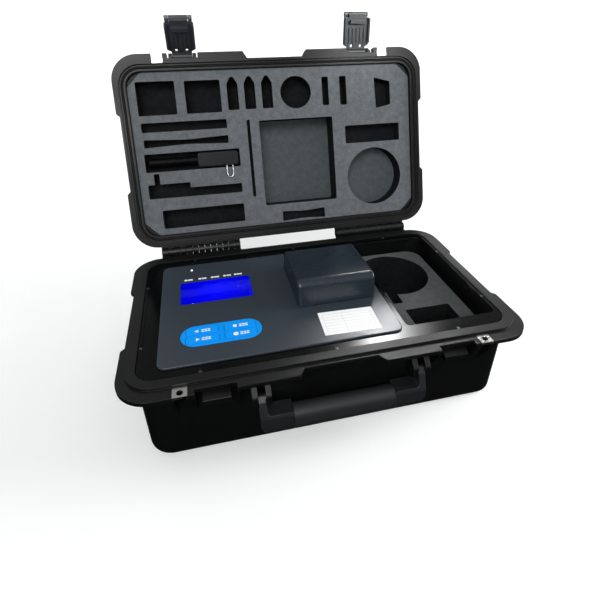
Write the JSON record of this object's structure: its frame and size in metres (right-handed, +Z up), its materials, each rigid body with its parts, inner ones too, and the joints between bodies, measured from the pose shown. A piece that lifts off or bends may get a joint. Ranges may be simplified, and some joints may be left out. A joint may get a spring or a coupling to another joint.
{
  "type": "water quality analyzer",
  "caption": "Portable water analyser in a hinged hard case, with display, keypad, hooded measuring well, latches, carrying handle and foam-lined accessory storage.",
  "frame": {"origin": "middle of the case's underside", "axes": "+X to the operator's right along the case's length, +Y to the hinge side, +Z up; the lid stands open at rest"},
  "size_m": [0.473, 0.4222, 0.4367],
  "materials": {
    "case_shell": "fine moulded texture",
    "latch_plastic": "moulded satin",
    "handle_plastic": "moulded satin",
    "grip_rubber": "matt",
    "seal_rubber": "satin",
    "foam": "cut closed-cell foam",
    "stainless_plate": "brushed",
    "steel_pin": "ground",
    "screw_steel": "plated",
    "bezel_plastic": "polished",
    "panel_coat": "satin coat",
    "display": "backlit film",
    "display_window": "clear",
    "keypad_blue": "satin",
    "key_blue": "satin",
    "board_green": "solder mask",
    "brass": "turned",
    "housing_plastic": "moulded",
    "battery_wrap": "shrink film",
    "clamp_aluminium": "bent sheet",
    "socket_plastic": "moulded",
    "label_film": "printed film, left blank",
    "black_anodised": "black anodised",
    "lens_glass": "polished",
    "lamp_lens": "clear",
    "hood_coat": "satin coat",
    "pen_grey": "moulded",
    "pen_black": "moulded",
    "wire": "plated"
  },
  "bodies": {
    "case_base": {"base_shell": "case_shell", "base_padlock_plate_left": "stainless_plate", "base_padlock_plate_right": "stainless_plate", "hinge_pin_left": "steel_pin", "hinge_pin_right": "steel_pin", "base_foam": "foam", "handle_pins": "steel_pin", "bezel": "bezel_plastic", "bezel_screws": "screw_steel", "instrument_panel": "panel_coat", "lcd_module": "display", "lcd_window": "display_window", "status_led": "lamp_lens", "keypad_frame": "keypad_blue", "key_board": "board_green", "main_board": "board_green", "board_screws": "screw_steel", "board_standoffs": "brass", "instrument_housing": "housing_plastic", "battery_pack": "battery_wrap", "battery_clamp": "clamp_aluminium", "charge_socket": "socket_plastic", "panel_label": "label_film", "well_stand": "housing_plastic", "well_block": "black_anodised", "well_collar": "black_anodised", "lamp_board": "board_green", "detector_board": "board_green", "lens": "lens_glass", "hood_bracket": "hood_coat", "hood_pin": "steel_pin"},
    "case_lid": {"lid_shell": "case_shell", "lid_seal": "seal_rubber", "lid_foam": "foam", "latch_pins": "steel_pin", "pen_body": "pen_grey", "pen_cap": "pen_black", "pen_loop": "wire", "lid_padlock_plate_left": "stainless_plate", "lid_padlock_plate_right": "stainless_plate"},
    "light_hood": {"hood": "hood_coat"},
    "latch_left": {"latch_body_left": "latch_plastic", "lever_pin_left": "steel_pin"},
    "latch_right": {"latch_body_right": "latch_plastic", "lever_pin_right": "steel_pin"},
    "lever_left": {"latch_lever_left": "latch_plastic"},
    "lever_right": {"latch_lever_right": "latch_plastic"},
    "carry_handle": {"handle_frame": "handle_plastic", "handle_grip": "grip_rubber"},
    "key_upper_left": {"key_1": "key_blue"},
    "key_upper_right": {"key_2": "key_blue"},
    "key_lower_left": {"key_3": "key_blue"},
    "key_lower_right": {"key_4": "key_blue"}
  },
  "joints": [
    {"name": "lid_hinge", "type": "hinge", "parent": "case_base", "child": "case_lid", "pos_m": [0, 0.1511, 0.1089], "axis": [1, 0, 0], "range_deg": [0, 107.5]},
    {"name": "hood_hinge", "type": "hinge", "parent": "case_base", "child": "light_hood", "pos_m": [0.025, 0.06, 0.114], "axis": [1, 0, 0], "range_deg": [-75, 0]},
    {"name": "latch_left_hinge", "type": "hinge", "parent": "case_lid", "child": "latch_left", "pos_m": [-0.1355, 0.25213, 0.37912], "axis": [1, 0, 0], "range_deg": [-56, 46.5]},
    {"name": "lever_left_hinge", "type": "hinge", "parent": "latch_left", "child": "lever_left", "pos_m": [-0.1355, 0.23691, 0.43178], "axis": [1, 0, 0], "range_deg": [0, 170]},
    {"name": "latch_right_hinge", "type": "hinge", "parent": "case_lid", "child": "latch_right", "pos_m": [0.1355, 0.25213, 0.37912], "axis": [1, 0, 0], "range_deg": [-30, 72.5]},
    {"name": "lever_right_hinge", "type": "hinge", "parent": "latch_right", "child": "lever_right", "pos_m": [0.1355, 0.26153, 0.43312], "axis": [1, 0, 0], "range_deg": [0, 170]},
    {"name": "handle_hinge", "type": "hinge", "parent": "case_base", "child": "carry_handle", "pos_m": [0, -0.136, 0.08], "axis": [-1, 0, 0], "range_deg": [0, 95]},
    {"name": "key_upper_left_press", "type": "slide", "parent": "case_base", "child": "key_upper_left", "axis": [0, 0, -1], "range_m": [0, 0.0005], "stiffness_N_per_m": 1000, "springref_m": -0.0005},
    {"name": "key_upper_right_press", "type": "slide", "parent": "case_base", "child": "key_upper_right", "axis": [0, 0, -1], "range_m": [0, 0.0005], "stiffness_N_per_m": 1000, "springref_m": -0.0005},
    {"name": "key_lower_left_press", "type": "slide", "parent": "case_base", "child": "key_lower_left", "axis": [0, 0, -1], "range_m": [0, 0.0005], "stiffness_N_per_m": 1000, "springref_m": -0.0005},
    {"name": "key_lower_right_press", "type": "slide", "parent": "case_base", "child": "key_lower_right", "axis": [0, 0, -1], "range_m": [0, 0.0005], "stiffness_N_per_m": 1000, "springref_m": -0.0005}
  ]
}
